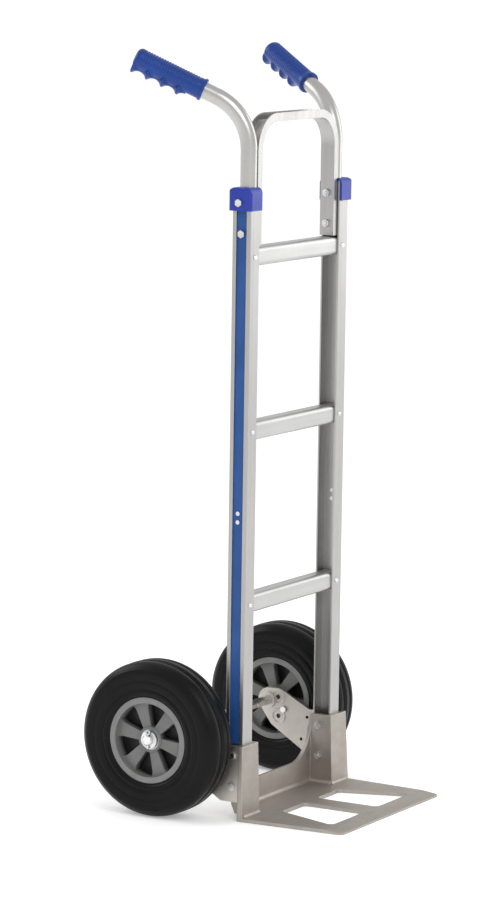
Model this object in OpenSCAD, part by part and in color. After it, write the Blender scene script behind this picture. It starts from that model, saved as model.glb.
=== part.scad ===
// Two-wheel hand truck: extruded rails, cast nose plate, twin handles, wheels.
// Units are millimetres. Z is up from the floor, the nose plate points to -Y,
// X runs across the truck and Y = 0 is the front face of the two rails.

/* [Overall] */
// Height of the top ends of the two side rails
rail_top = 1013; // [850:1:1200]
// Distance between the centre lines of the two rails
rail_pitch = 289; // [250:1:340]
// Height of the outer face of the loop's top bar above the rails
loop_rise = 119.5; // [100:0.5:200]
// Reach of the nose plate in front of the rails
plate_depth = 188; // [150:1:260]
// Overhang of the nose plate outside each rail at the heel
heel_over = 18; // [16:0.5:60]

/* [Rails] */
// Width of one rail, seen from the front
rail_w = 29; // [28:0.5:36]
// Wall of the rail at the front and at the rear
rail_wall = 3.2; // [2:0.1:5]
// Web between the inner channel and the outer groove
rail_web = 2.5; // [2:0.1:4]
// Depth of the outer groove that carries the trim strip
groove_depth = 4.2; // [3.6:0.1:6]
// Width of the outer groove
groove_w = 18.6; // [14:0.2:22]
// Height of the lower end of each rail
rail_bottom = 28; // [20:1:40]

/* [Rungs] */
// Height of the middle of the lowest rung
rung_first = 348; // [300:1:420]
// Distance from the top of the rails down to the highest rung
rung_drop = 106; // [100:1:130]
// Height of the rung section
rung_h = 30.5; // [24:0.5:36]
// Space left behind a rung inside the rail
rung_space = 3.9; // [1:0.1:8]
// Wall of the rung section
rung_wall = 2; // [1.5:0.1:3]
// Rounding of the two front edges of a rung
rung_round = 7; // [2:0.5:9]

/* [Handles] */
// Outside diameter of the handle tube
tube_d = 26.6; // [22:0.1:32]
// Wall of the handle tube
tube_wall = 2.1; // [1.5:0.1:3]
// Height above the rails at which the handle tube starts to bend back
bend_rise = 64; // [30:1:160]
// Centre line radius of the handle bend
bend_radius = 91; // [70:1:130]
// Angle turned by the handle bend
bend_angle = 65; // [40:1:85]
// Angle by which the bend swings outward
splay_angle = 24.5; // [0:0.5:40]
// Straight tube between the bend and the grip
neck_length = 22; // [10:1:60]
// Length of a grip
grip_length = 121; // [100:1:150]
// Thickness of a grip on its plain upper side
grip_wall = 3.35; // [2.5:0.05:6]
// How far the ridges between the fingers hang below the plain grip
ridge_drop = 9; // [3:0.5:11]

/* [Loop] */
// Wall of the loop section
loop_wall = 1.8; // [1.4:0.1:2.4]
// Depth of the loop section
loop_t = 13.5; // [12:0.5:18]
// Inner radius of the two upper corners of the loop
loop_radius = 46; // [25:1:70]

/* [Nose plate] */
// Thickness of the plate
plate_t = 6; // [5:0.5:10]
// Thickness of the plate at its front edge
plate_lip = 3; // [2:0.5:5]
// Narrowing of each side of the plate towards the front
plate_taper = 11; // [0:1:30]
// Height of the two feet that hold the rails
foot_h = 121.5; // [110:0.5:150]
// Wall of the feet and of the web between them
foot_wall = 6; // [5:0.5:10]
// Overhang of a foot outside its rail at the top
foot_over = 13; // [8:1:18]
// Height of the web between the feet
web_h = 46.5; // [35:0.5:70]
// Radius of the curve from the web up to a foot
gusset_r = 60; // [30:1:70]
// Distance of the windows from the middle of the plate
window_in = 20; // [12:1:40]
// Corner radius of the windows
window_r = 9; // [4:1:14]

/* [Wheels] */
// Outside diameter of a tyre
wheel_d = 254; // [200:1:300]
// Width of a tyre
tyre_w = 70; // [50:1:90]
// Diameter of the visible rim
rim_d = 140; // [110:1:170]
// Distance of the front of the wheels behind the front face of the rails
wheel_back = 8; // [6:1:30]
// Diameter of the axle
axle_d = 15.9; // [12:0.1:20]
// Thickness of a wheel bracket
bracket_t = 6; // [4:0.5:8]
// Width of a spoke where it meets the hub core
spoke_in = 14; // [8:1:20]
// Width of a spoke where it meets the rim
spoke_out = 29; // [16:1:40]

/* [Part] */
// Piece to draw

/* [Hidden] */
$fn = 64;

// clearances
fit_gap = 0.1;          // between pieces that are fastened together
tube_gap = 0.2;         // each side of the tube inside the rail
hole_gap = 0.15;        // round a bolt or rivet, on the radius
run_gap = 0.05;         // wheel bearing on the axle, on the radius
side_gap = 0.4;         // beside a turning hub
tyre_gap = 3.1;         // between a bracket and the tyre
loop_gap = 0.8;         // each side of the loop inside the rail

// rail
channel_w = tube_d + 2 * tube_gap;
rail_d = channel_w + 2 * rail_wall;
rail_mid = rail_d / 2;
x_rail = rail_pitch / 2;
x_in = x_rail - rail_w / 2;
x_out = x_rail + rail_w / 2;
x_groove = x_out - groove_depth;
x_floor = x_groove - rail_web;
rail_edge = 1.6;
rung_step = (rail_top - rung_drop - rung_first) / 2;
rung_d = channel_w - fit_gap - rung_space;
x_rivet = x_rail - 1.5;
strip_t = 2.2;
strip_w = groove_w - 2 * fit_gap;
x_strip = x_groove + fit_gap;

// handle tube and loop
loop_w = channel_w - 2 * loop_gap;
loop_top = rail_top + loop_rise;
bend_start = rail_top + bend_rise;
tube_r = tube_d / 2;
x_tube = x_floor - fit_gap - tube_r;
rung_top_z = rail_top - rung_drop;
loop_foot = rung_top_z + rung_h / 2 + 1.8;
tube_foot = loop_foot + 2;
loop_half = loop_w / 2 - loop_wall;
x_tip = x_tube - sqrt(tube_r * tube_r - loop_half * loop_half) - tube_gap;
x_leg = x_tip - loop_t;
loop_turn = x_leg - loop_radius;
loop_turn_z = loop_top - loop_t - loop_radius;
bend_lap = 1;
bend_step = 0.2;

// bolts, nuts and rivets
bolt_d = 6.35;
bolt_head = 11.1;
bolt_head_t = 4.4;
foot_head_t = 3.2;
nut_t = 5.5;
thread_end = 2;
bolt_hole = bolt_d + 2 * hole_gap;
strip_rivet_d = 4;
strip_rivet_z = [rung_first + 0.483 * rung_step, rung_first + 0.533 * rung_step];
rung_rivet_d = 5;
rivet_head_d = 9;
rivet_head_t = 1.7;
bolt_low = rail_top - 69;
bolt_high = rail_top - 19;

// cap on the rail
cap_wall = 4;
cap_side = 8;
cap_h = 37;
cap_roof = 5;
cap_top = rail_top + fit_gap + cap_roof;
cap_round = 6;
cap_dome = 10;
x_cap = x_out + fit_gap + cap_side;

// grip
grip_bore = tube_d + 2 * fit_gap;
grip_r = grip_bore / 2 + grip_wall;
grip_end = 4;
grip_dome = 8;
ridge_count = 4;
ridge_r = 15.5;
ridge_axis = grip_r + ridge_drop - ridge_r;
ridge_pitch = 0.218 * grip_length;
ridge_last = grip_length - 4;
ridge_land = 1.8;
ridge_depth = ridge_drop - 0.4;
groove_half = (ridge_pitch - ridge_land) / 2;
groove_r = (groove_half * groove_half + ridge_depth * ridge_depth) / (2 * ridge_depth);

// feet, plate and bracket
foot_side = 9;
x_wall_out = x_in - fit_gap;
x_wall_in = x_wall_out - foot_side;
x_foot = x_out + foot_over;
heel_half = x_out + heel_over;
nose_half = heel_half - plate_taper;
web_back = rail_d + 4.6;
web_front = web_back - foot_wall;
foot_bolt_low = 53;
foot_bolt_high = 104;
bead = 6;
corner_r = 8;
foot_toe = 4;
window_back = 38;
window_front = plate_depth - 37;
window_out_back = heel_half - 79;
window_out_front = heel_half - 47;
x_bracket = x_out + fit_gap;
x_plate_out = x_bracket + bracket_t;
bracket_front = 0.5;
bracket_low = 28;
bracket_top = foot_h - 0.5;
boss_r = 20.5;
axle_r = axle_d / 2;
axle_z = wheel_d / 2;
axle_y = axle_z + wheel_back;
axle_at = [axle_y, axle_z];
ring_hi = [axle_y - 17.7, axle_z + 6.5];
ring_lo = [axle_y - 19, axle_z - 26];
stud_at = [axle_y - 29.5, axle_z - 13.5];
ring_r = 13;
ring_bore = 8;
ring_t = 1.6;
ring_wall = 2.4;
collar_r = axle_r + 5.6;
collar_t = 5;
stud_r = 3;
stud_head_r = 5.2;
stud_head_t = 3;
small_hole = 5.5;

// wheel
x_tyre = x_plate_out + tyre_gap;
x_wheel = x_tyre + tyre_w / 2;
hub_w = tyre_w - 8;
rim_r = rim_d / 2;
lip_t = 4.5;
bed_r = rim_r - 6;
rim_in_r = rim_r - 9.5;
bearing_r = axle_r + 9;
core_r = bearing_r + 4.5;
washer_r = axle_r + 6;
washer_t = 3;
x_core_in = x_plate_out + fit_gap + washer_t + side_gap;
x_core_out = x_wheel + hub_w / 2 - 8;
spoke_face = 10;
spoke_t = 42;
hub_web = 4;
spokes = 6;
spoke_turn = 42;
bearing_w = 11;
bearing_sink = 1;
x_cotter = x_core_out + side_gap + washer_t + 2.6;
axle_half = x_cotter + 5;
cotter_d = 3.6;
shoulder_r = 20;

// both sides from one drawing of the right-hand side
module on_left() { mirror([1, 0, 0]) children(); }
module both() { children(); mirror([1, 0, 0]) children(); }

// flat rectangle with round corners
module plain_round(x0, y0, x1, y1, r) {
  union() {
    translate([x0 + r, y0]) square([x1 - x0 - 2 * r, y1 - y0]);
    translate([x0, y0 + r]) square([x1 - x0, y1 - y0 - 2 * r]);
    for (x = [x0 + r, x1 - r], y = [y0 + r, y1 - r])
      translate([x, y]) circle(r);
  }
}

// round bar along X
module bar_x(x0, x1, y, z, d) {
  translate([x0, y, z]) rotate([0, 90, 0]) cylinder(d = d, h = x1 - x0);
}
// hexagon along X
module hex_x(x0, x1, y, z, flats) {
  translate([x0, y, z]) rotate([0, 90, 0])
    cylinder(d = flats / cos(30), h = x1 - x0, $fn = 6);
}
// profile drawn in Y and Z, given thickness along X
module plate_x(x0, x1) {
  translate([x0, 0, 0]) rotate([90, 0, 90]) linear_extrude(height = x1 - x0) children();
}
// profile drawn in X and Z, given thickness along Y
module plate_y(y0, y1) {
  translate([0, y1, 0]) rotate([90, 0, 0]) linear_extrude(height = y1 - y0) children();
}
// profile of radius and X position, turned about the axle
module turned() {
  translate([0, axle_y, axle_z]) rotate([0, 90, 0]) rotate_extrude() children();
}

// holes shared by the pieces the handle bolts pass through
module handle_bolt_holes() {
  for (z = [bolt_low, bolt_high])
    bar_x(x_leg - 5, x_cap + 5, rail_mid, z, bolt_hole);
}
module foot_bolt_holes() {
  for (z = [foot_bolt_low, foot_bolt_high])
    bar_x(x_wall_in - 5, x_plate_out + 5, rail_mid, z, bolt_hole);
}
module strip_rivet_holes() {
  for (z = strip_rivet_z)
    bar_x(x_floor - 5, x_out + 5, rail_mid, z, strip_rivet_d + 2 * hole_gap);
}
module rung_rivet_holes() {
  for (i = [0:2])
    translate([x_rivet, -5, rung_first + i * rung_step]) rotate([-90, 0, 0])
      cylinder(d = rung_rivet_d + 2 * hole_gap, h = rail_wall + rung_wall + 6);
}

// ---------------------------------------------------------------- rails
module rail() {
  color([0.76, 0.76, 0.75]) difference() {
    translate([0, 0, rail_bottom]) linear_extrude(height = rail_top - rail_bottom)
      difference() {
        plain_round(x_in, 0, x_out, rail_d, rail_edge);
        translate([x_in - 1, rail_wall]) square([x_floor - x_in + 1, channel_w]);
        translate([x_groove, rail_mid - groove_w / 2]) square([groove_depth + 1, groove_w]);
      }
    handle_bolt_holes();
    foot_bolt_holes();
    strip_rivet_holes();
    rung_rivet_holes();
  }
}
module left_rail() { on_left() rail(); }
module right_rail() { rail(); }

module trim_strip() {
  color([0.22, 0.35, 0.64]) difference() {
    translate([x_strip, rail_mid - strip_w / 2, foot_h + 0.8])
      cube([strip_t, strip_w, rail_top - foot_h - 1.8]);
    handle_bolt_holes();
    strip_rivet_holes();
  }
}
module left_trim_strip() { on_left() trim_strip(); }
module right_trim_strip() { trim_strip(); }

module rail_cap() {
  low = cap_top - cap_h;
  gap = fit_gap;
  color([0.27, 0.31, 0.72]) difference() {
    intersection() {
      translate([0, 0, low]) linear_extrude(height = cap_h)
        plain_round(x_in - cap_round, -gap - cap_wall, x_cap, rail_d + gap + cap_wall, cap_round);
      plate_x(x_in - cap_round, x_cap)
        plain_round(-gap - cap_wall, low - cap_dome, rail_d + gap + cap_wall, cap_top, cap_dome);
      plate_y(-gap - cap_wall, rail_d + gap + cap_wall)
        plain_round(x_in - 2 * cap_dome, low - cap_dome, x_cap, cap_top, cap_dome);
      translate([x_in, -20, low - 1]) cube([60, rail_d + 40, cap_h + 2]);
    }
    // pocket for the end of the rail, open towards the loop
    translate([x_in - 1, -gap, low - 1])
      cube([rail_w + 1 + gap, rail_d + 2 * gap, rail_top + gap - low + 1]);
    // way through the roof for the handle tube and the loop leg
    translate([x_tube, rail_mid, rail_top - 1]) cylinder(r = tube_r + tube_gap, h = cap_roof + 5);
    translate([x_in - 1, rail_mid - tube_r - tube_gap, rail_top - 1])
      cube([x_tube - x_in + 1, tube_d + 2 * tube_gap, cap_roof + 5]);
    bar_x(x_out - 1, x_cap + 5, rail_mid, bolt_high, bolt_hole);
  }
}
module left_rail_cap() { on_left() rail_cap(); }
module right_rail_cap() { rail_cap(); }

// ---------------------------------------------------------------- loop
// channel section, open side towards +X, inner face at x = 0
module loop_section() {
  difference() {
    translate([0, -loop_w / 2]) square([loop_t, loop_w]);
    translate([loop_wall, -loop_half]) square([loop_t, 2 * loop_half]);
  }
}
module top_loop() {
  color([0.75, 0.75, 0.74]) difference() {
    translate([0, rail_mid, 0]) union() {
      both() {
        translate([x_leg, 0, loop_foot]) linear_extrude(height = loop_turn_z - loop_foot)
          loop_section();
        translate([loop_turn, 0, loop_turn_z]) rotate([90, 0, 0])
          rotate_extrude(angle = 90) translate([loop_radius, 0]) loop_section();
      }
      translate([-loop_turn, 0, loop_turn_z + loop_radius]) rotate([0, 90, 0])
        linear_extrude(height = 2 * loop_turn) mirror([1, 0]) loop_section();
    }
    both() handle_bolt_holes();
  }
}

// ---------------------------------------------------------------- handles
// children are placed at the end of the bend, with Z along the straight tube
// and -X towards the outside of the bend, which is the upper side
module at_bend_end() {
  translate([x_tube, rail_mid, bend_start]) rotate([0, 0, 90 - splay_angle])
    translate([bend_radius, 0, 0]) rotate([0, bend_angle, 0])
      translate([-bend_radius, 0, 0]) children();
}
// the bend is a touch fuller than the straight tube, whose ends run into it
module tube_path(r) {
  translate([x_tube, rail_mid, tube_foot])
    cylinder(r = r, h = bend_start - tube_foot + bend_lap);
  translate([x_tube, rail_mid, bend_start]) rotate([0, 0, 90 - splay_angle])
    translate([bend_radius, 0, 0]) rotate([90, 0, 180])
      rotate_extrude(angle = bend_angle) translate([bend_radius, 0]) circle(r + bend_step);
  at_bend_end() translate([0, 0, -bend_lap])
    cylinder(r = r, h = bend_lap + neck_length + grip_length - grip_end - 2);
}
module handle_tube() {
  color([0.75, 0.75, 0.73]) difference() {
    tube_path(tube_r);
    tube_path(tube_r - tube_wall);
    handle_bolt_holes();
  }
}
module left_handle_tube() { on_left() handle_tube(); }
module right_handle_tube() { handle_tube(); }

module grip() {
  r = grip_r;
  color([0.13, 0.27, 0.6]) at_bend_end() translate([0, 0, neck_length]) difference() {
    union() {
      rotate_extrude() union() {
        square([r, grip_length - grip_dome]);
        square([r - grip_dome, grip_length]);
        translate([r - grip_dome, grip_length - grip_dome])
          intersection() { circle(grip_dome); square(grip_dome); }
        translate([0, 1]) square([r + 1.6, 4]);
      }
      translate([ridge_axis, 0, 0]) rotate_extrude() difference() {
        translate([0, ridge_last - (ridge_count - 0.5) * ridge_pitch])
          square([ridge_r, (ridge_count - 0.5) * ridge_pitch + ridge_land]);
        for (i = [0:ridge_count])
          translate([ridge_r - ridge_depth + groove_r, ridge_last + (0.5 - i) * ridge_pitch])
            circle(groove_r);
      }
    }
    translate([0, 0, -1]) cylinder(d = grip_bore, h = grip_length - grip_end + 1);
  }
}
module left_grip() { on_left() grip(); }
module right_grip() { grip(); }

// ---------------------------------------------------------------- rungs
module rung(i) {
  half = x_floor - fit_gap - 2;
  y0 = rail_wall + fit_gap;
  z0 = rung_first + i * rung_step - rung_h / 2;
  color([0.78, 0.78, 0.78]) difference() {
    plate_x(-half, half) difference() {
      union() {
        plain_round(y0, z0, y0 + rung_d, z0 + rung_h, rung_round);
        translate([y0 + rung_round, z0]) square([rung_d - rung_round, rung_h]);
      }
      plain_round(y0 + rung_wall, z0 + rung_wall, y0 + rung_d - rung_wall,
                  z0 + rung_h - rung_wall, rung_round - rung_wall);
    }
    both() rung_rivet_holes();
  }
}
module lower_rung() { rung(0); }
module middle_rung() { rung(1); }
module upper_rung() { rung(2); }

module rung_rivets() {
  color([0.6, 0.6, 0.6]) both() for (i = [0:2])
    translate([x_rivet, 0, rung_first + i * rung_step]) rotate([-90, 0, 0]) {
      translate([0, 0, -fit_gap - 0.5])
        cylinder(d = rung_rivet_d, h = rail_wall + rung_wall + 3 * fit_gap + 1);
      translate([0, 0, -fit_gap - rivet_head_t])
        cylinder(d1 = rivet_head_d - 2.5, d2 = rivet_head_d, h = rivet_head_t);
      translate([0, 0, rail_wall + 2 * fit_gap + rung_wall]) cylinder(d = 7.5, h = 2);
    }
}

module strip_rivets() {
  color([0.85, 0.85, 0.86]) both() for (z = strip_rivet_z) {
    bar_x(x_floor - 1.5, x_strip + strip_t + 1, rail_mid, z, strip_rivet_d);
    bar_x(x_strip + strip_t + fit_gap, x_strip + strip_t + 1.3, rail_mid, z, 7);
    bar_x(x_floor - fit_gap - 1.6, x_floor - fit_gap, rail_mid, z, 6.5);
  }
}

// ---------------------------------------------------------------- handle bolts
module hex_bolt_x(x_nut, x_head, z, head_t) {
  bar_x(x_nut - nut_t - thread_end, x_head + 1, rail_mid, z, bolt_d);
  hex_x(x_head + fit_gap, x_head + fit_gap + head_t, rail_mid, z, bolt_head);
}
module hex_nut_x(x1, z) {
  difference() {
    hex_x(x1 - fit_gap - nut_t, x1 - fit_gap, rail_mid, z, bolt_head);
    bar_x(x1 - nut_t - 5, x1 + 5, rail_mid, z, bolt_hole);
  }
}
module handle_bolts() {
  color([0.8, 0.8, 0.82]) both() {
    hex_bolt_x(x_leg, x_cap, bolt_high, bolt_head_t);
    hex_bolt_x(x_leg, x_strip + strip_t, bolt_low, bolt_head_t);
  }
}
module handle_nuts() {
  color([0.72, 0.72, 0.72]) both() {
    hex_nut_x(x_leg, bolt_high);
    hex_nut_x(x_leg, bolt_low);
  }
}

// ---------------------------------------------------------------- nose plate
function along(a, b, t) = a + (b - a) * t;

// outline of the right half of the plate, front corner rounded
module plate_outline() {
  union() {
    polygon([[0, 0], [heel_half, 0],
             [along(heel_half, nose_half, 1 - corner_r / plate_depth), -plate_depth + corner_r],
             [nose_half - corner_r, -plate_depth], [0, -plate_depth]]);
    intersection() {
      translate([nose_half - corner_r, -plate_depth + corner_r]) circle(corner_r);
      translate([nose_half - corner_r, -plate_depth]) square(corner_r);
    }
  }
}
// window with four round corners, drawn for the right half
module window_outline() {
  r = window_r;
  lean = (window_out_front - window_out_back) / (window_front - window_back);
  side_x = (r - 0.1) / sqrt(1 + lean * lean);
  side_y = side_x * lean;
  xb = window_out_back - r;
  xf = window_out_front - r;
  union() {
    translate([window_in + r, -window_back - r]) circle(r);
    translate([window_in + r, -window_front + r]) circle(r);
    translate([xb, -window_back - r]) circle(r);
    translate([xf, -window_front + r]) circle(r);
    polygon([[window_in + r, -window_back], [xb, -window_back],
             [xb + side_x, -window_back - r + side_y],
             [xf + side_x, -window_front + r + side_y],
             [xf, -window_front], [window_in + r, -window_front],
             [window_in, -window_front + r], [window_in, -window_back - r]]);
  }
}
// concave bead r wide between two walls meeting at the origin, sunk 1 mm into both
module bead_section(r) {
  difference() {
    translate([-1, -1]) square(r + 1);
    translate([r + 1, r + 1]) circle(norm([r + 1, 1]));
  }
}
module foot() {
  union() {
    // front wall, thicker towards the plate
    intersection() {
      plate_x(x_wall_in, x_foot + 10)
        polygon([[-fit_gap, 0], [-foot_wall - foot_toe, 0], [-foot_wall - foot_toe, plate_t + 1],
                 [-foot_wall, foot_h], [-fit_gap, foot_h]]);
      plate_y(-40, 10)
        polygon([[x_wall_in, 0], [heel_half, 0], [heel_half, plate_t],
                 [x_foot, foot_h], [x_wall_in, foot_h]]);
    }
    // inner wall beside the rail
    plate_x(x_wall_in, x_wall_out)
      polygon([[-foot_wall + 1, 0], [web_back - 7, 0], [web_back, 16], [web_back, web_h + 40],
               [web_back - 3, foot_h - 3], [web_back - 6, foot_h], [-foot_wall + 1, foot_h]]);
    // bead at the bottom of the front wall and of the inner wall
    translate([x_wall_in - 0.2, -foot_wall - foot_toe, plate_t]) rotate([90, 0, 90])
      linear_extrude(height = heel_half - x_wall_in - 6) mirror([1, 0]) bead_section(bead - 2);
    translate([x_wall_in, web_front, plate_t]) rotate([90, 0, 0])
      linear_extrude(height = web_front + foot_wall + foot_toe - 2) mirror([1, 0]) bead_section(bead);
  }
}
module nose_plate() {
  color([0.57, 0.55, 0.52]) difference() {
    union() {
      // plate, thinner towards its front edge
      intersection() {
        linear_extrude(height = plate_t) difference() {
          both() plate_outline();
          both() window_outline();
        }
        plate_x(-heel_half, heel_half)
          polygon([[1, 0], [-plate_depth, 0], [-plate_depth, plate_lip],
                   [-plate_depth + 32, plate_t], [1, plate_t]]);
      }
      // floor between the feet, rising at the heel
      plate_x(-x_wall_in - 1, x_wall_in + 1)
        polygon([[-0.5, 0], [web_back - 7, 0], [web_back, 16], [web_front, 16],
                 [web_front, plate_t], [-0.5, plate_t]]);
      // web with its upward curves
      plate_y(web_front, web_back) union() {
        translate([-x_wall_in - 1, 14]) square([2 * x_wall_in + 2, web_h - 14]);
        both() difference() {
          translate([x_wall_in - gusset_r, web_h - 1]) square([gusset_r + 1, gusset_r * 0.92]);
          translate([x_wall_in - gusset_r, web_h + gusset_r]) circle(gusset_r, $fn = 128);
        }
      }
      translate([-x_wall_in, web_front, plate_t]) rotate([90, 0, 90])
        linear_extrude(height = 2 * x_wall_in) mirror([1, 0]) bead_section(bead);
      both() foot();
    }
    both() foot_bolt_holes();
  }
}

module foot_bolts() {
  color([0.82, 0.82, 0.83]) both() for (z = [foot_bolt_low, foot_bolt_high])
    hex_bolt_x(x_wall_in, x_plate_out, z, foot_head_t);
}
module foot_nuts() {
  color([0.7, 0.7, 0.7]) both() for (z = [foot_bolt_low, foot_bolt_high])
    hex_nut_x(x_wall_in, z);
}

// ---------------------------------------------------------------- wheel brackets
// point where the line from p touches a circle, on the side given by s
function touch(p, c, r, s) =
  let (d = norm(p - c), a = atan2(p[1] - c[1], p[0] - c[0]) + s * acos(r / d))
  c + r * [cos(a), sin(a)];

module bracket_outline() {
  low_corner = [rail_d + 4, bracket_low];
  top_corner = [rail_d + 23, bracket_top - 2.5];
  union() {
    translate(axle_at) circle(boss_r);
    translate(ring_lo) circle(boss_r);
    translate(ring_hi) circle(ring_r + 1.5);
    polygon([[bracket_front, bracket_low], low_corner,
             touch(low_corner, ring_lo, boss_r, 1), ring_lo, ring_hi,
             touch(top_corner, ring_hi, ring_r + 1.5, -1), top_corner,
             [bracket_front, bracket_top]]);
    side = (axle_at - ring_lo) / norm(axle_at - ring_lo);
    polygon([ring_lo + boss_r * [side[1], -side[0]], axle_at + boss_r * [side[1], -side[0]],
             axle_at + boss_r * [-side[1], side[0]], ring_hi, ring_lo]);
    polygon([ring_hi, axle_at, axle_at + [0, boss_r], ring_hi + [0, ring_r + 1.5]]);
  }
}
module ring_x(x0, x1, at, r) {
  translate([x0, at[0], at[1]]) rotate([0, 90, 0]) cylinder(r = r, h = x1 - x0);
}
module wheel_bracket() {
  color([0.72, 0.71, 0.68]) difference() {
    union() {
      plate_x(x_bracket, x_plate_out) bracket_outline();
      ring_x(x_bracket - collar_t, x_bracket + 1, axle_at, collar_r);
      for (c = [ring_hi, ring_lo]) difference() {
        ring_x(x_bracket - ring_t, x_bracket + 1, c, ring_r);
        ring_x(x_bracket - ring_t - 1, x_bracket, c, ring_r - ring_wall);
      }
    }
    ring_x(x_bracket - 20, x_plate_out + 20, axle_at, axle_r + fit_gap);
    for (c = [ring_hi, ring_lo])
      ring_x(x_bracket - 20, x_plate_out + 20, c, ring_bore / 2);
    ring_x(x_bracket - 20, x_plate_out + 20, stud_at, stud_r + hole_gap);
    for (c = [[rail_d + 27, foot_bolt_high + 1], [rail_d + 38, foot_bolt_low + 13.5]])
      ring_x(x_bracket - 20, x_plate_out + 20, c, small_hole / 2);
    foot_bolt_holes();
  }
}
module left_wheel_bracket() { on_left() wheel_bracket(); }
module right_wheel_bracket() { wheel_bracket(); }

module bracket_studs() {
  color([0.88, 0.88, 0.88]) both() {
    ring_x(x_bracket - ring_t - stud_head_t, x_plate_out - 0.5, stud_at, stud_r);
    ring_x(x_bracket - ring_t - stud_head_t, x_bracket - ring_t - fit_gap, stud_at, stud_head_r);
  }
}

// ---------------------------------------------------------------- axle
module cotter_hole() {
  translate([x_cotter, axle_y, axle_z - axle_r - 5]) cylinder(d = cotter_d + 0.4, h = axle_d + 10);
}
module axle() {
  color([0.7, 0.7, 0.71]) difference() {
    translate([0, axle_y, axle_z]) rotate([0, 90, 0]) union() {
      translate([0, 0, -axle_half + 1.2]) cylinder(r = axle_r, h = 2 * axle_half - 2.4);
      for (s = [0, 1]) mirror([0, 0, s]) translate([0, 0, axle_half - 1.2])
        cylinder(r1 = axle_r, r2 = axle_r - 1.2, h = 1.2);
    }
    both() cotter_hole();
  }
}
module washer_x(x0, r) {
  difference() {
    ring_x(x0, x0 + washer_t - fit_gap, axle_at, r);
    ring_x(x0 - 1, x0 + washer_t + 1, axle_at, axle_r + fit_gap);
  }
}
module inner_washers() {
  color([0.74, 0.74, 0.74]) both() washer_x(x_plate_out + fit_gap, washer_r);
}
module outer_washers() {
  color([0.78, 0.78, 0.78]) both() washer_x(x_core_out + side_gap, washer_r + 0.5);
}
module cotter_pins() {
  top = axle_r + 1;
  color([0.8, 0.8, 0.8]) both() translate([x_cotter, axle_y, axle_z]) {
    translate([0, 0, -axle_r - 6]) cylinder(d = cotter_d, h = 2 * axle_r + 8);
    translate([0, 0, top + 3.6]) rotate([0, 90, 0])
      rotate_extrude() translate([3.4, 0]) circle(1.4);
  }
}

// ---------------------------------------------------------------- wheels
// tyre section: radius from the axle against X
module tyre_section() {
  r = wheel_d / 2;
  a = x_tyre;
  b = x_tyre + tyre_w;
  lip_a = x_wheel - hub_w / 2 - fit_gap;
  lip_b = x_wheel + hub_w / 2 + fit_gap;
  s = shoulder_r;
  difference() {
    union() {
      translate([bed_r + fit_gap, lip_a + lip_t + 2 * fit_gap])
        square([r - bed_r - fit_gap - s, lip_b - lip_a - 2 * lip_t - 4 * fit_gap]);
      translate([rim_r + fit_gap, a + 3]) square([r - rim_r - s, tyre_w - 6]);
      translate([rim_r + 5, a]) square([r - rim_r - s - 5, tyre_w]);
      translate([r - s - 0.5, a + s]) square([s + 0.5, tyre_w - 2 * s]);
      for (x = [a + s, b - s]) translate([r - s, x]) circle(s, $fn = 96);
    }
    // grooves round the tread and a line on each side wall
    for (x = [x_wheel - 10.5, x_wheel + 10.5]) translate([r - 1.6, x - 1.3]) square([4, 2.6]);
    for (x = [a - 0.1, b + 0.1]) translate([rim_r + 12, x]) circle(1.1);
  }
}
module tyre() {
  color([0.1, 0.1, 0.11]) turned() tyre_section();
}
module left_tyre() { on_left() tyre(); }
module right_tyre() { tyre(); }

module spoke_profile() {
  w0 = spoke_in / 2;
  w1 = spoke_out / 2;
  polygon([[core_r - 4, -w0], [rim_in_r - 9, -w1 + 3.2], [rim_in_r + 1, -w1 - 2],
           [rim_in_r + 1, w1 + 2], [rim_in_r - 9, w1 - 3.2], [core_r - 4, w0]]);
}
module hub() {
  x0 = x_wheel - hub_w / 2;
  x1 = x_wheel + hub_w / 2;
  color([0.5, 0.5, 0.49]) difference() {
    union() {
      turned() union() {
        difference() {
          translate([rim_in_r, x0]) square([rim_r - rim_in_r, hub_w]);
          translate([bed_r, x0 + lip_t]) square([20, hub_w - 2 * lip_t]);
        }
        translate([0, x_core_in]) square([core_r - 2, x_core_out - x_core_in]);
        translate([0, x_core_in + 2]) square([core_r, x_core_out - x_core_in - 4]);
        for (x = [x_core_in + 2, x_core_out - 2]) translate([core_r - 2, x]) circle(2);
        translate([core_r - 1, x_wheel - hub_web / 2]) square([rim_in_r - core_r + 2, hub_web]);
      }
      translate([x1 - spoke_face - spoke_t, axle_y, axle_z]) rotate([0, 90, 0])
        for (i = [0:spokes - 1]) rotate([0, 0, i * 360 / spokes + spoke_turn])
          linear_extrude(height = spoke_t) spoke_profile();
    }
    ring_x(x0 - 20, x1 + 20, axle_at, axle_r + 2.5);
    ring_x(x_core_in - 5, x_core_in + bearing_sink + bearing_w + fit_gap, axle_at, bearing_r + fit_gap);
    ring_x(x_core_out - bearing_sink - bearing_w - fit_gap, x_core_out + 5, axle_at, bearing_r + fit_gap);
  }
}
module left_hub() { on_left() hub(); }
module right_hub() { hub(); }

module bearing_section() {
  bore = axle_r + run_gap;
  difference() {
    translate([bore, 0]) square([bearing_r - bore, bearing_w]);
    for (x = [-1, bearing_w - 0.8]) translate([bore + 2.6, x]) square([bearing_r - bore - 5.2, 1.8]);
  }
}
module bearings() {
  color([0.66, 0.66, 0.66]) for (x = [x_core_in + bearing_sink, x_core_out - bearing_sink - bearing_w])
    turned() translate([0, x]) bearing_section();
}
module left_bearings() { on_left() bearings(); }
module right_bearings() { bearings(); }

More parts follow.
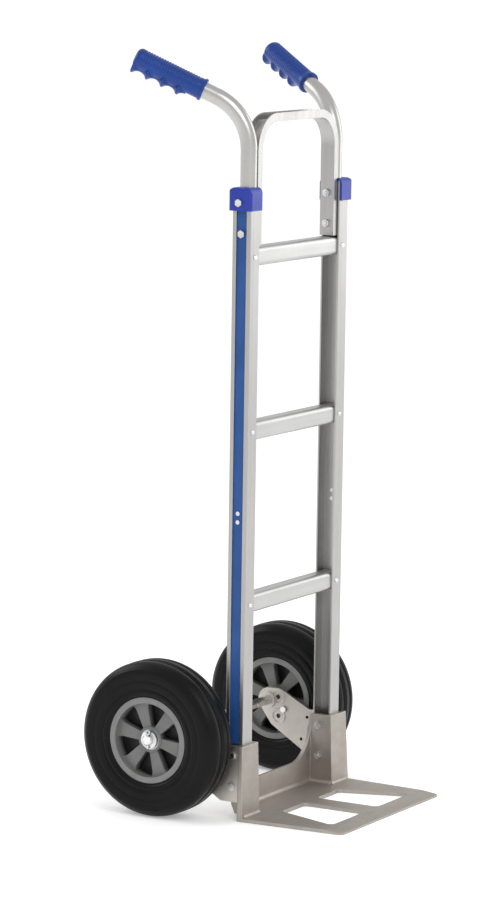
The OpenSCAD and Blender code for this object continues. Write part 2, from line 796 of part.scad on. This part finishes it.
left_rail();
right_rail();
left_trim_strip();
right_trim_strip();
left_rail_cap();
right_rail_cap();
top_loop();
left_handle_tube();
right_handle_tube();
left_grip();
right_grip();
upper_rung();
middle_rung();
lower_rung();
rung_rivets();
strip_rivets();
handle_bolts();
handle_nuts();
nose_plate();
foot_bolts();
foot_nuts();
left_wheel_bracket();
right_wheel_bracket();
bracket_studs();
axle();
inner_washers();
outer_washers();
cotter_pins();
left_tyre();
left_hub();
left_bearings();
right_tyre();
right_hub();
right_bearings();
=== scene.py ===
import math
import bmesh
import bpy
from mathutils import Matrix, Vector


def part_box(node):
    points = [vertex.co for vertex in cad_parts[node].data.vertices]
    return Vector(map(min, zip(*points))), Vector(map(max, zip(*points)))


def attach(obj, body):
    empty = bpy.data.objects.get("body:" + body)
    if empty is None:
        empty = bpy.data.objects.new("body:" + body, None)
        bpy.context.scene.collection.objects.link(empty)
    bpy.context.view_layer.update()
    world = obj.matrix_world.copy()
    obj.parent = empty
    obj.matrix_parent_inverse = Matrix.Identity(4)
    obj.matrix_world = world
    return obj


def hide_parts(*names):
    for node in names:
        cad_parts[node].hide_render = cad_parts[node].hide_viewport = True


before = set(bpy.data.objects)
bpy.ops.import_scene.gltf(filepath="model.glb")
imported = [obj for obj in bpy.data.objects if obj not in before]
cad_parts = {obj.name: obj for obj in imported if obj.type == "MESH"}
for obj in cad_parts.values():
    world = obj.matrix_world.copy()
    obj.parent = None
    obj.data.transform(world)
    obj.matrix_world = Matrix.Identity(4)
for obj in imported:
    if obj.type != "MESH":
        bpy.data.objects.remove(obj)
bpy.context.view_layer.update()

MM = 0.001

# ------------------------------------------------------------------ sizes
AXLE_Y = 135 * MM
AXLE_Z = 127 * MM
WHEEL_X = 203.2 * MM
BEND_START = Vector((138.9, 16.7, 1077)) * MM
BEND_RADIUS = 91 * MM
BEND_ANGLE = math.radians(65)
SPLAY = math.radians(24.5)
NECK = 22 * MM
GRIP_LEN = 121 * MM
GRIP_R = 16.75 * MM
GRIP_BORE = 13.4 * MM
BORE_DEPTH = 117 * MM


# ------------------------------------------------------------------ material helper
class Mat:
    """A procedural material. Every pattern is placed by object coordinates, in metres."""

    def __init__(self, name):
        self.mat = bpy.data.materials.new(name)
        self.mat.use_nodes = True
        self.tree = self.mat.node_tree
        self.bsdf = self.tree.nodes["Principled BSDF"]
        self.co = self.tree.nodes.new("ShaderNodeTexCoord").outputs["Object"]

    def put(self, socket, value):
        if isinstance(value, bpy.types.NodeSocket):
            self.tree.links.new(value, socket)
        else:
            socket.default_value = value

    def node(self, kind, **settings):
        n = self.tree.nodes.new(kind)
        for k, v in settings.items():
            setattr(n, k, v)
        return n

    def set(self, **values):
        for k, v in values.items():
            self.put(self.bsdf.inputs[k.replace("_", " ")], v)
        return self

    def scaled(self, sx, sy, sz, source=None):
        n = self.node("ShaderNodeVectorMath", operation="MULTIPLY")
        self.put(n.inputs[0], source or self.co)
        n.inputs[1].default_value = (sx, sy, sz)
        return n.outputs[0]

    def noise(self, scale, detail=3.0, rough=0.5, source=None, twist=0.0):
        if not isinstance(scale, tuple):
            scale = (scale,) * 3
        n = self.node("ShaderNodeTexNoise")
        self.put(n.inputs["Vector"], self.scaled(*scale, source=source))
        n.inputs["Scale"].default_value = 1.0
        n.inputs["Detail"].default_value = detail
        n.inputs["Roughness"].default_value = rough
        n.inputs["Distortion"].default_value = twist
        return n.outputs["Fac"]

    def cells(self, scale, feature="F1"):
        n = self.node("ShaderNodeTexVoronoi", feature=feature)
        self.put(n.inputs["Vector"], self.scaled(scale, scale, scale))
        n.inputs["Scale"].default_value = 1.0
        return n.outputs["Distance"]

    def math(self, op, a, b=0.0, c=0.0):
        n = self.node("ShaderNodeMath", operation=op)
        for i, v in enumerate((a, b, c)):
            self.put(n.inputs[i], v)
        return n.outputs[0]

    def remap(self, value, lo, hi, to_lo, to_hi):
        n = self.node("ShaderNodeMapRange")
        for i, v in enumerate((value, lo, hi, to_lo, to_hi)):
            self.put(n.inputs[i], v)
        return n.outputs[0]

    def mix(self, fac, a, b, mode="MIX"):
        n = self.node("ShaderNodeMix", data_type="RGBA", blend_type=mode)
        self.put(n.inputs["Factor"], fac)
        for key, v in (("A", a), ("B", b)):
            socket = [s for s in n.inputs if s.name == key and s.type == "RGBA"][0]
            self.put(socket, v if isinstance(v, bpy.types.NodeSocket) else rgba(v))
        return [s for s in n.outputs if s.type == "RGBA"][0]

    def xyz(self):
        n = self.node("ShaderNodeSeparateXYZ")
        self.put(n.inputs[0], self.co)
        return n.outputs

    def axle_distance(self):
        """Distance from the axle's centre line."""
        x, y, z = self.xyz()
        y = self.math("SUBTRACT", y, AXLE_Y)
        z = self.math("SUBTRACT", z, AXLE_Z)
        square = self.math("ADD", self.math("MULTIPLY", y, y), self.math("MULTIPLY", z, z))
        return self.math("SQRT", square)

    def rounded(self, radius):
        """Normal that rounds sharp edges by this radius."""
        n = self.node("ShaderNodeBevel", samples=6)
        n.inputs["Radius"].default_value = radius
        return n.outputs["Normal"]

    def edge_mask(self, radius, lo=0.02, hi=0.25):
        """1 on worn edges, 0 on flat faces."""
        geo = self.node("ShaderNodeNewGeometry")
        dot = self.node("ShaderNodeVectorMath", operation="DOT_PRODUCT")
        self.put(dot.inputs[0], self.rounded(radius))
        self.put(dot.inputs[1], geo.outputs["Normal"])
        away = self.math("SUBTRACT", 1.0, dot.outputs["Value"])
        return self.remap(away, lo, hi, 0.0, 1.0)

    def bump(self, height, distance, strength=1.0, normal=None):
        n = self.node("ShaderNodeBump")
        n.inputs["Strength"].default_value = strength
        n.inputs["Distance"].default_value = distance
        self.put(n.inputs["Height"], height)
        if normal is not None:
            self.put(n.inputs["Normal"], normal)
        return n.outputs["Normal"]


def rgba(c):
    return (*c, 1.0) if len(c) == 3 else c


def shade(c, k):
    return tuple(min(1.0, v * k) for v in c)


# ------------------------------------------------------------------ metals
def extruded(name, base, along, rough=0.36, edge=0.7 * MM):
    """Mill-finish aluminium with fine drawn lines along one axis."""
    m = Mat(name)
    cross, run = 1500.0, 5.0
    fine = m.noise(tuple(run if i == along else cross for i in range(3)), detail=3)
    broad = m.noise(tuple(3.0 if i == along else 170.0 for i in range(3)), detail=2)
    cloud = m.noise(9.0, detail=4, rough=0.6)
    scuff = m.noise(tuple(260.0 if i == along else 60.0 for i in range(3)), detail=5, rough=0.7)
    marks = m.remap(scuff, 0.66, 0.76, 0.0, 1.0)
    tone = m.math("ADD", m.math("MULTIPLY", fine, 0.35), m.math("MULTIPLY", broad, 0.65))
    tone = m.math("ADD", m.math("MULTIPLY", tone, 0.6), m.math("MULTIPLY", cloud, 0.4))
    colour = m.mix(m.remap(tone, 0.3, 0.7, 0.0, 1.0), shade(base, 0.9), shade(base, 1.06))
    colour = m.mix(m.math("MULTIPLY", marks, 0.18), colour, shade(base, 0.6))
    colour = m.mix(m.math("MULTIPLY", m.edge_mask(edge), 0.5), colour, shade(base, 1.25))
    spread = m.remap(tone, 0.3, 0.7, rough + 0.06, rough - 0.04)
    m.set(Base_Color=colour, Metallic=1.0, Roughness=m.math("ADD", spread, m.math("MULTIPLY", marks, 0.1)))
    height = m.math("ADD", m.math("MULTIPLY", fine, 0.7), m.math("MULTIPLY", cloud, 0.3))
    m.set(Normal=m.bump(height, 0.05 * MM, 0.5, m.rounded(edge)))
    return m.mat


def drawn_tube(name, base):
    """Satin tube: soft mottling, small handling marks."""
    m = Mat(name)
    grain = m.noise(1300.0, detail=2)
    cloud = m.noise(22.0, detail=5, rough=0.62)
    nicks = m.remap(m.noise((90.0, 90.0, 420.0), detail=6, rough=0.75), 0.68, 0.76, 0.0, 1.0)
    tone = m.math("ADD", m.math("MULTIPLY", grain, 0.3), m.math("MULTIPLY", cloud, 0.7))
    colour = m.mix(m.remap(tone, 0.3, 0.7, 0.0, 1.0), shade(base, 0.93), shade(base, 1.05))
    colour = m.mix(m.math("MULTIPLY", nicks, 0.15), colour, shade(base, 0.65))
    m.set(Base_Color=colour, Metallic=1.0, Roughness=m.remap(tone, 0.3, 0.7, 0.33, 0.25))
    m.set(Normal=m.bump(m.math("ADD", grain, m.math("MULTIPLY", cloud, 2.0)), 0.04 * MM, 0.35,
                        m.rounded(0.5 * MM)))
    return m.mat


def cast(name, base, grain_size, rough, depth, edge=1.0 * MM, streak=None):
    """Sand-cast metal with a grainy skin, tumbled edges and an uneven tone."""
    m = Mat(name)
    k = 1.0 / grain_size
    grain = m.noise(k, detail=5, rough=0.65)
    pits = m.remap(m.cells(k * 0.8), 0.0, 0.35, 0.0, 1.0)
    cloud = m.noise(16.0, detail=5, rough=0.6, twist=0.4)
    tone = m.math("ADD", m.math("MULTIPLY", grain, 0.45), m.math("MULTIPLY", cloud, 0.55))
    if streak:
        lines = m.noise(streak, detail=4, rough=0.6)
        tone = m.math("ADD", m.math("MULTIPLY", tone, 0.6), m.math("MULTIPLY", lines, 0.4))
    colour = m.mix(m.remap(tone, 0.32, 0.68, 0.0, 1.0), shade(base, 0.84), shade(base, 1.1))
    colour = m.mix(m.math("MULTIPLY", m.math("SUBTRACT", 1.0, pits), 0.35), colour, shade(base, 0.55))
    colour = m.mix(m.math("MULTIPLY", m.edge_mask(edge), 0.7), colour, shade(base, 1.5))
    m.set(Base_Color=colour, Metallic=1.0, Roughness=m.remap(tone, 0.3, 0.7, rough + 0.08, rough - 0.06))
    height = m.math("ADD", m.math("MULTIPLY", grain, 0.6), m.math("MULTIPLY", pits, 0.4))
    m.set(Normal=m.bump(height, depth, 0.8, m.rounded(edge)))
    return m.mat


def turned_steel(name, base, rough):
    """Bright bar or plated steel with rings round the axle line and faint plating tints."""
    m = Mat(name)
    rings = m.noise((700.0, 20.0, 20.0), detail=2)
    cloud = m.noise(60.0, detail=3, rough=0.5)
    tint = m.mix(m.remap(m.noise(60.0, detail=2), 0.35, 0.65, 0.0, 1.0),
                 (0.96, 0.98, 1.0), (1.0, 0.985, 0.94))
    colour = m.mix(m.remap(cloud, 0.35, 0.65, 0.0, 1.0), shade(base, 0.86), shade(base, 1.08))
    colour = m.mix(1.0, colour, tint, "MULTIPLY")
    m.set(Base_Color=colour, Metallic=1.0, Roughness=m.remap(cloud, 0.3, 0.7, rough + 0.08, rough - 0.04))
    m.set(Normal=m.bump(m.math("ADD", rings, cloud), 0.015 * MM, 0.25, m.rounded(0.35 * MM)))
    return m.mat


# ------------------------------------------------------------------ plastics and rubber
def moulded(name, base, rough, grain=0.5 * MM, depth=0.03 * MM, coat=0.0, scratch=0.25, edge=0.8 * MM,
            shine=0.5):
    """Moulded plastic: fine skin texture, uneven gloss, rubbed edges and light scratches."""
    m = Mat(name)
    skin = m.noise(1.0 / grain, detail=3, rough=0.6)
    cloud = m.noise(24.0, detail=4, rough=0.55)
    lines = m.noise((40.0, 40.0, 900.0), detail=4, rough=0.7, twist=0.6)
    scratches = m.remap(lines, 0.64, 0.7, 0.0, 1.0)
    colour = m.mix(m.remap(cloud, 0.3, 0.7, 0.0, 1.0), shade(base, 0.86), shade(base, 1.1))
    colour = m.mix(m.math("MULTIPLY", m.remap(skin, 0.35, 0.65, 0.0, 1.0), 0.25), colour, shade(base, 0.8))
    pale = tuple(0.6 * v + 0.16 for v in base)
    colour = m.mix(m.math("MULTIPLY", scratches, scratch * 0.5), colour, pale)
    colour = m.mix(m.math("MULTIPLY", m.edge_mask(edge), 0.3), colour, pale)
    m.set(Base_Color=colour, Roughness=m.math("ADD", m.remap(cloud, 0.3, 0.7, rough + 0.07, rough - 0.05),
                                              m.math("MULTIPLY", scratches, 0.12)))
    m.set(Specular_IOR_Level=shine)
    if coat:
        m.set(Coat_Weight=coat, Coat_Roughness=0.2)
    m.set(Normal=m.bump(m.math("SUBTRACT", skin, m.math("MULTIPLY", scratches, 0.5)), depth, 0.7,
                        m.rounded(edge)))
    return m.mat


def tyre_rubber():
    """Moulded solid tyre: faint mould rings on the side walls, dusty bloom, semi-gloss."""
    m = Mat("tyre_rubber_moulded")
    radius = m.axle_distance()
    base = (0.005, 0.005, 0.0056)
    ring_wave = m.math("SINE", m.math("MULTIPLY", radius, 2 * math.pi / (3.2 * MM)))
    ring_fade = m.remap(m.noise(30.0, detail=3), 0.35, 0.65, 0.15, 1.0)
    rings = m.math("MULTIPLY", m.math("MULTIPLY", ring_wave, ring_fade), 0.35)
    grain = m.noise(900.0, detail=4, rough=0.6)
    bloom = m.noise(13.0, detail=5, rough=0.62, twist=0.5)
    worn = m.remap(radius, 0.118, 0.127, 0.0, 1.0)
    dust = m.math("MULTIPLY", m.remap(bloom, 0.42, 0.72, 0.0, 1.0), m.remap(worn, 0.0, 1.0, 0.25, 0.6))
    colour = m.mix(dust, base, (0.014, 0.013, 0.0125))
    colour = m.mix(m.math("MULTIPLY", m.remap(grain, 0.4, 0.7, 0.0, 1.0), 0.3), colour, shade(base, 0.5))
    gloss = m.math("ADD", m.remap(bloom, 0.3, 0.7, 0.22, 0.34), m.math("MULTIPLY", worn, 0.12))
    m.set(Base_Color=colour, Roughness=gloss, Specular_IOR_Level=0.13)
    m.set(Normal=m.bump(m.math("ADD", rings, m.math("MULTIPLY", grain, 0.8)), 0.035 * MM, 0.5))
    return m.mat


def hub_grey():
    """Grey moulded hub with flow marks towards the rim, darker and mottled close to the axle, painted shade
    on the recessed spokes and near-black painted shade in the pocket between them.
    """
    m = Mat("hub_grey_moulded")
    base = (0.2, 0.202, 0.198)
    radius = m.axle_distance()
    skin = m.noise(1400.0, detail=3, rough=0.6)
    cloud = m.noise(34.0, detail=4, rough=0.6, twist=0.3)
    # Darker close to the axle, fading out by 34 mm from its centre line, mottled by noise.
    near_axle_darkening = m.math("MULTIPLY", m.remap(radius, 0.02, 0.034, 0.5, 0.0), m.remap(cloud, 0.35, 0.65, 0.3, 1.0))
    colour = m.mix(m.remap(cloud, 0.3, 0.7, 0.0, 1.0), shade(base, 0.88), shade(base, 1.1))
    colour = m.mix(m.math("MULTIPLY", m.remap(skin, 0.35, 0.65, 0.0, 1.0), 0.2), colour, shade(base, 0.7))
    colour = m.mix(near_axle_darkening, colour, shade(base, 0.55))
    colour = m.mix(m.math("MULTIPLY", m.edge_mask(1.2 * MM), 0.35), colour, shade(base, 1.6))
    across = m.math("ABSOLUTE", m.math("SUBTRACT", m.math("ABSOLUTE", m.xyz()[0]), WHEEL_X))
    # Painted shade: the deep pocket between the spokes, within 6 to 18 mm of the wheel's middle plane, is
    # coloured almost black.
    pocket_painted_shade = m.remap(across, 6 * MM, 18 * MM, 1.0, 0.0)
    # Painted shade: everything within 21.5 mm of the middle plane, the recessed spokes, is darkened against
    # the rim faces.
    colour = m.mix(m.remap(across, 21.5 * MM, 28 * MM, 0.3, 0.0), colour, shade(base, 0.45))
    colour = m.mix(m.math("MULTIPLY", pocket_painted_shade, 0.97), colour, shade(base, 0.04))
    m.set(Base_Color=colour, Roughness=m.remap(cloud, 0.3, 0.7, 0.5, 0.4), Specular_IOR_Level=0.45)
    m.set(Normal=m.bump(m.math("ADD", skin, m.math("MULTIPLY", cloud, 1.5)), 0.04 * MM, 0.7,
                        m.rounded(1.4 * MM)))
    return m.mat


ALU = (0.445, 0.44, 0.43)
SLOTS = {
    "rail_z": extruded("rail_extruded", ALU, 2),
    "rung_x": extruded("rung_extruded", (0.52, 0.52, 0.515), 0, rough=0.38),
    "loop": extruded("loop_extruded", ALU, 2, rough=0.34),
    "tube": drawn_tube("tube_satin", (0.5, 0.492, 0.475)),
    "cast": cast("plate_cast", (0.44, 0.405, 0.37), 1.1 * MM, 0.5, 0.22 * MM, edge=1.6 * MM,
                 streak=(26.0, 300.0, 40.0)),
    "bracket": cast("bracket_cast", (0.6, 0.565, 0.52), 0.8 * MM, 0.42, 0.16 * MM, edge=0.9 * MM),
    "strip": moulded("strip_blue", (0.018, 0.078, 0.27), 0.4, grain=0.6 * MM, shine=0.3, edge=0.3 * MM),
    "cap": moulded("cap_blue_moulded", (0.02, 0.042, 0.34), 0.3, grain=0.45 * MM, shine=0.3, edge=1.2 * MM),
    "grip": moulded("grip_rubber_blue", (0.004, 0.042, 0.25), 0.24, grain=0.35 * MM, depth=0.04 * MM,
                    scratch=0.2, edge=0.4 * MM, shine=0.35),
    "axle": turned_steel("axle_bright", (0.78, 0.78, 0.78), 0.26),
    "zinc": turned_steel("fastener_zinc", (0.72, 0.725, 0.735), 0.26),
    "bearing": turned_steel("bearing_ground", (0.5, 0.5, 0.5), 0.3),
    "tyre": tyre_rubber(),
    "hub": hub_grey(),
}
NODE_LOOK = {
    "rail": "rail_z", "trim_strip": "strip", "rail_cap": "cap", "top_loop": "loop", "handle_tube": "tube",
    "grip": "grip", "rung": "rung_x", "rivets": "zinc", "bolts": "zinc", "nuts": "zinc", "nose_plate": "cast",
    "wheel_bracket": "bracket", "studs": "zinc", "axle": "axle", "washers": "zinc", "pins": "zinc",
    "tyre": "tyre", "hub": "hub", "bearings": "bearing",
}
for node_name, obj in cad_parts.items():
    ends = [k for k in NODE_LOOK if node_name.endswith(k)]
    obj.data.materials.clear()
    obj.data.materials.append(SLOTS[NODE_LOOK[max(ends, key=len)]])


# ------------------------------------------------------------------ mesh helper
def mesh_object(name, verts, faces, look, body, smooth=math.radians(40)):
    mesh = bpy.data.meshes.new(name)
    mesh.from_pydata([tuple(v) for v in verts], [], faces)
    bm = bmesh.new()
    bm.from_mesh(mesh)
    bmesh.ops.remove_doubles(bm, verts=bm.verts, dist=1e-7)
    bmesh.ops.recalc_face_normals(bm, faces=bm.faces)
    for e in bm.edges:
        e.smooth = len(e.link_faces) != 2 or e.calc_face_angle(0.0) < smooth
    for f in bm.faces:
        f.smooth = True
    bm.to_mesh(mesh)
    bm.free()
    obj = bpy.data.objects.new(name, mesh)
    bpy.context.scene.collection.objects.link(obj)
    mesh.materials.append(SLOTS[look])
    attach(obj, body)
    return obj


def loft(rings, closed):
    """Vertices and faces through equal rings of points; closed joins the last ring to the first."""
    n, k = len(rings[0]), len(rings)
    verts = [p for ring in rings for p in ring]
    faces = []
    for i in range(k if closed else k - 1):
        a, b = i * n, ((i + 1) % k) * n
        faces += [(a + j, a + (j + 1) % n, b + (j + 1) % n, b + j) for j in range(n)]
    if not closed:
        faces += [tuple(range(n))[::-1], tuple((k - 1) * n + j for j in range(n))]
    return verts, faces


# ------------------------------------------------------------------ grips
RIDGE_R = 15.5 * MM
RIDGE_DROP = 9 * MM
RIDGE_AXIS = GRIP_R + RIDGE_DROP - RIDGE_R
RIDGE_PITCH = 0.218 * GRIP_LEN
RIDGE_LAST = GRIP_LEN - 4 * MM
RIDGE_DEPTH = RIDGE_DROP - 2.4 * MM
GROOVE_HALF = (RIDGE_PITCH - 3.0 * MM) / 2
GROOVE_R = (GROOVE_HALF ** 2 + RIDGE_DEPTH ** 2) / (2 * RIDGE_DEPTH)
RIB_PITCH = 4.6 * MM
RIB_H = 1.0 * MM
RIB_START = 9 * MM
RIB_END = GRIP_LEN - 11 * MM
RIB_FADE = 2 * MM
DOME = 8 * MM


def ridge_radius(s):
    """Radius of the finger ridges about their own axis, s along the grip; 0 where there are none."""
    first = RIDGE_LAST - 3.5 * RIDGE_PITCH
    if s < first or s > RIDGE_LAST + 1.8 * MM:
        return 0.0
    r = RIDGE_R
    for i in range(5):
        d = s - (RIDGE_LAST + (0.5 - i) * RIDGE_PITCH)
        if abs(d) < GROOVE_R:
            r = min(r, RIDGE_R - RIDGE_DEPTH + GROOVE_R - math.sqrt(GROOVE_R ** 2 - d * d))
    return r


def smooth_max(a, b, k):
    h = max(k - abs(a - b), 0.0) / k
    return max(a, b) + h * h * k * 0.25


def grip_ring(s, plain, count):
    """One ring of the grip's outside: (x, y) points, with +x towards the fingers."""
    ring, r2 = [], ridge_radius(s)
    ribbed = RIB_START < s < RIB_END
    fade = min(1.0, (s - RIB_START) / RIB_FADE, (RIB_END - s) / RIB_FADE) if ribbed else 0.0
    wave = (0.5 - 0.5 * math.cos(2 * math.pi * s / RIB_PITCH)) ** 0.7
    for j in range(count):
        t = 2 * math.pi * j / count
        away = min(1.0, max(0.0, 0.5 - 1.2 * math.cos(t)))
        r = plain - RIB_H * fade * (1 - wave) * away
        if r2 > 0:
            under = r2 * r2 - (RIDGE_AXIS * math.sin(t)) ** 2
            if under > 0:
                r = smooth_max(r, RIDGE_AXIS * math.cos(t) + math.sqrt(under) - 0.12 * MM, 0.5 * MM)
        ring.append((r * math.cos(t), r * math.sin(t)))
    return ring


def grip_mesh(place):
    """The whole grip: bore, collar, ribbed barrel with finger ridges, and domed tip."""
    count = 96
    stations = [(0.0, GRIP_R + 1.0 * MM), (0.6 * MM, GRIP_R + 1.5 * MM), (1.2 * MM, GRIP_R + 1.6 * MM),
                (4.4 * MM, GRIP_R + 1.6 * MM), (4.9 * MM, GRIP_R + 1.3 * MM), (5.2 * MM, GRIP_R)]
    s = 5.6 * MM
    while s < GRIP_LEN - DOME:
        stations.append((s, GRIP_R))
        s += 0.375 * MM
    steps = 12
    for i in range(steps):
        a = math.pi / 2 * i / steps
        stations.append((GRIP_LEN - DOME + DOME * math.sin(a), GRIP_R - DOME + DOME * math.cos(a)))
    stations.append((GRIP_LEN, (GRIP_R - DOME) * 0.98))
    circle = [(math.cos(2 * math.pi * j / count), math.sin(2 * math.pi * j / count)) for j in range(count)]
    rings = [[(GRIP_BORE * c, GRIP_BORE * d, z) for c, d in circle]
             for z in (BORE_DEPTH, 60 * MM, 0.0)]
    for z, r in stations:
        rings.append([(x, y, z) for x, y in grip_ring(z, r, count)])
    verts, faces = loft([[place @ Vector(p) for p in ring] for ring in rings], closed=False)
    return verts, faces


def grip_place(side):
    """From the grip's own frame (z along it, +x to the fingers) to the object's frame."""
    m = Matrix.Translation(BEND_START) @ Matrix.Rotation(math.pi / 2 - SPLAY, 4, "Z")
    m = m @ Matrix.Translation((BEND_RADIUS, 0, 0)) @ Matrix.Rotation(BEND_ANGLE, 4, "Y")
    m = m @ Matrix.Translation((-BEND_RADIUS, 0, NECK))
    return Matrix.Diagonal((side, 1, 1, 1)) @ m


for side, label in ((-1, "left"), (1, "right")):
    verts, faces = grip_mesh(grip_place(side))
    grip = mesh_object(label + "_grip_ribbed", verts, faces, "grip", "frame")
    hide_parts(label + "_grip")


# ------------------------------------------------------------------ tyres
def arc(cx, cr, radius, a0, a1, steps):
    """Points (x, r) on an arc, angles in degrees from the +x direction."""
    return [(cx + radius * math.cos(math.radians(a0 + (a1 - a0) * i / steps)),
             cr + radius * math.sin(math.radians(a0 + (a1 - a0) * i / steps))) for i in range(steps + 1)]


def tyre_half():
    """Outside of the tyre from the tread's middle to the bore, for x > 0, in millimetres from its middle."""
    pts = [(0.0, 126.985), (0.5, 126.9), (0.9, 126.6), (9.0, 126.6), (9.35, 126.3), (9.5, 125.2),
           (10.2, 124.7),
           (11.0, 124.7), (11.6, 125.2), (11.8, 126.2), (12.2, 126.6)]
    pts += arc(15.0, 107.0, 19.6, 88, 30, 14)
    pts += arc(15.0, 107.0, 20.0, 26, 2, 8)
    pts += [(35.0, 104.5), (35.0, 99.0), (34.75, 98.4), (34.75, 97.4), (35.0, 96.8)]
    pts += [(35.0, 91.0), (34.7, 88.0), (34.3, 84.5), (33.7, 83.6), (33.1, 83.0), (33.1, 82.0), (33.8, 81.4),
            (34.4, 80.9), (34.6, 79.0), (34.3, 76.5), (33.3, 74.6), (31.9, 73.2), (31.2, 72.0), (31.1, 70.2)]
    pts += [(26.3, 69.6), (26.3, 64.2)]
    return pts


def lathe(points, centre_x, count=192):
    """Closed profile of (x, radius) in millimetres, turned about the axle."""
    rings = []
    for x, r in points:
        ring = []
        for j in range(count):
            t = 2 * math.pi * j / count
            ring.append((centre_x + x * MM, AXLE_Y + r * MM * math.cos(t), AXLE_Z + r * MM * math.sin(t)))
        rings.append(ring)
    return loft(rings, closed=True)


for side, label in ((-1, "left"), (1, "right")):
    lo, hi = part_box(label + "_tyre")
    half = tyre_half()
    profile = [(x, r) for x, r in half] + [(-x, r) for x, r in reversed(half[1:])]
    verts, faces = lathe(profile, (lo.x + hi.x) / 2)
    tyre = mesh_object(label + "_tyre_moulded", verts, faces, "tyre", label + "_wheel",
                       smooth=math.radians(50))
    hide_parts(label + "_tyre")


# ------------------------------------------------------------------ floor, light, camera
def floor():
    m = Mat("floor_pale")
    grain = m.noise(3.0, detail=4)
    pale = m.mix(m.remap(grain, 0.3, 0.7, 0.0, 1.0), (0.9, 0.9, 0.9), (0.92, 0.92, 0.92))
    m.set(Base_Color=pale, Roughness=0.9,
          Emission_Color=(1.0, 1.0, 1.0, 1.0), Emission_Strength=0.3)
    n, radius = 96, 60.0
    turns = [2 * math.pi * i / n for i in range(n)]
    verts = [(0.0, 0.0, 0.0)] + [(radius * math.cos(t), radius * math.sin(t), 0.0) for t in turns]
    mesh = bpy.data.meshes.new("floor")
    mesh.from_pydata(verts, [], [(0, i + 1, (i + 1) % n + 1) for i in range(n)])
    obj = bpy.data.objects.new("floor", mesh)
    bpy.context.scene.collection.objects.link(obj)
    mesh.materials.append(m.mat)


floor()

scene = bpy.context.scene
world = bpy.data.worlds.new("studio")
scene.world = world
world.use_nodes = True
wt = world.node_tree
background = wt.nodes["Background"]
path = wt.nodes.new("ShaderNodeLightPath")
strength = wt.nodes.new("ShaderNodeMix")
strength.data_type = "FLOAT"
wt.links.new(path.outputs["Is Camera Ray"], strength.inputs["Factor"])
strength.inputs["A"].default_value = 0.82
strength.inputs["B"].default_value = 1.0
wt.links.new(strength.outputs[0], background.inputs["Strength"])
background.inputs["Color"].default_value = (1.0, 1.0, 1.0, 1.0)


def soft_light(name, at, aim, size, power):
    data = bpy.data.lights.new(name, "AREA")
    data.shape = "RECTANGLE"
    data.size, data.size_y = size
    data.energy = power
    obj = bpy.data.objects.new(name, data)
    scene.collection.objects.link(obj)
    obj.location = at
    obj.rotation_mode = "QUATERNION"
    obj.rotation_quaternion = (Vector(aim) - Vector(at)).to_track_quat("-Z", "Y")


MIDDLE = (0.0, 0.05, 0.6)
soft_light("key", (-1.9, -2.9, 3.0), MIDDLE, (2.0, 2.4), 38)
soft_light("fill", (2.6, -1.6, 1.6), MIDDLE, (1.6, 2.2), 18)
soft_light("rim", (-0.5, 3.0, 2.4), MIDDLE, (2.2, 1.6), 26)

AZ, EL, ROLL = math.radians(-59.95), math.radians(8.0), math.radians(0.85)
back = Vector((math.sin(AZ) * math.cos(EL), -math.cos(AZ) * math.cos(EL), math.sin(EL)))
right = Vector((math.cos(AZ), math.sin(AZ), 0.0))
up = back.cross(right)
cam_x = right * math.cos(ROLL) + up * math.sin(ROLL)
cam_y = up * math.cos(ROLL) - right * math.sin(ROLL)
cam_data = bpy.data.cameras.new("camera")
cam_data.sensor_width = 36.0
cam_data.lens = 157.66
cam_data.shift_y = -0.00115
cam_data.clip_end = 200.0
cam = bpy.data.objects.new("camera", cam_data)
scene.collection.objects.link(cam)
rotation = Matrix((cam_x, cam_y, back)).transposed().to_4x4()
cam.matrix_world = Matrix.Translation((-5.50928, -3.09989, 1.47437)) @ rotation
scene.camera = cam
scene.view_settings.view_transform = "Standard"
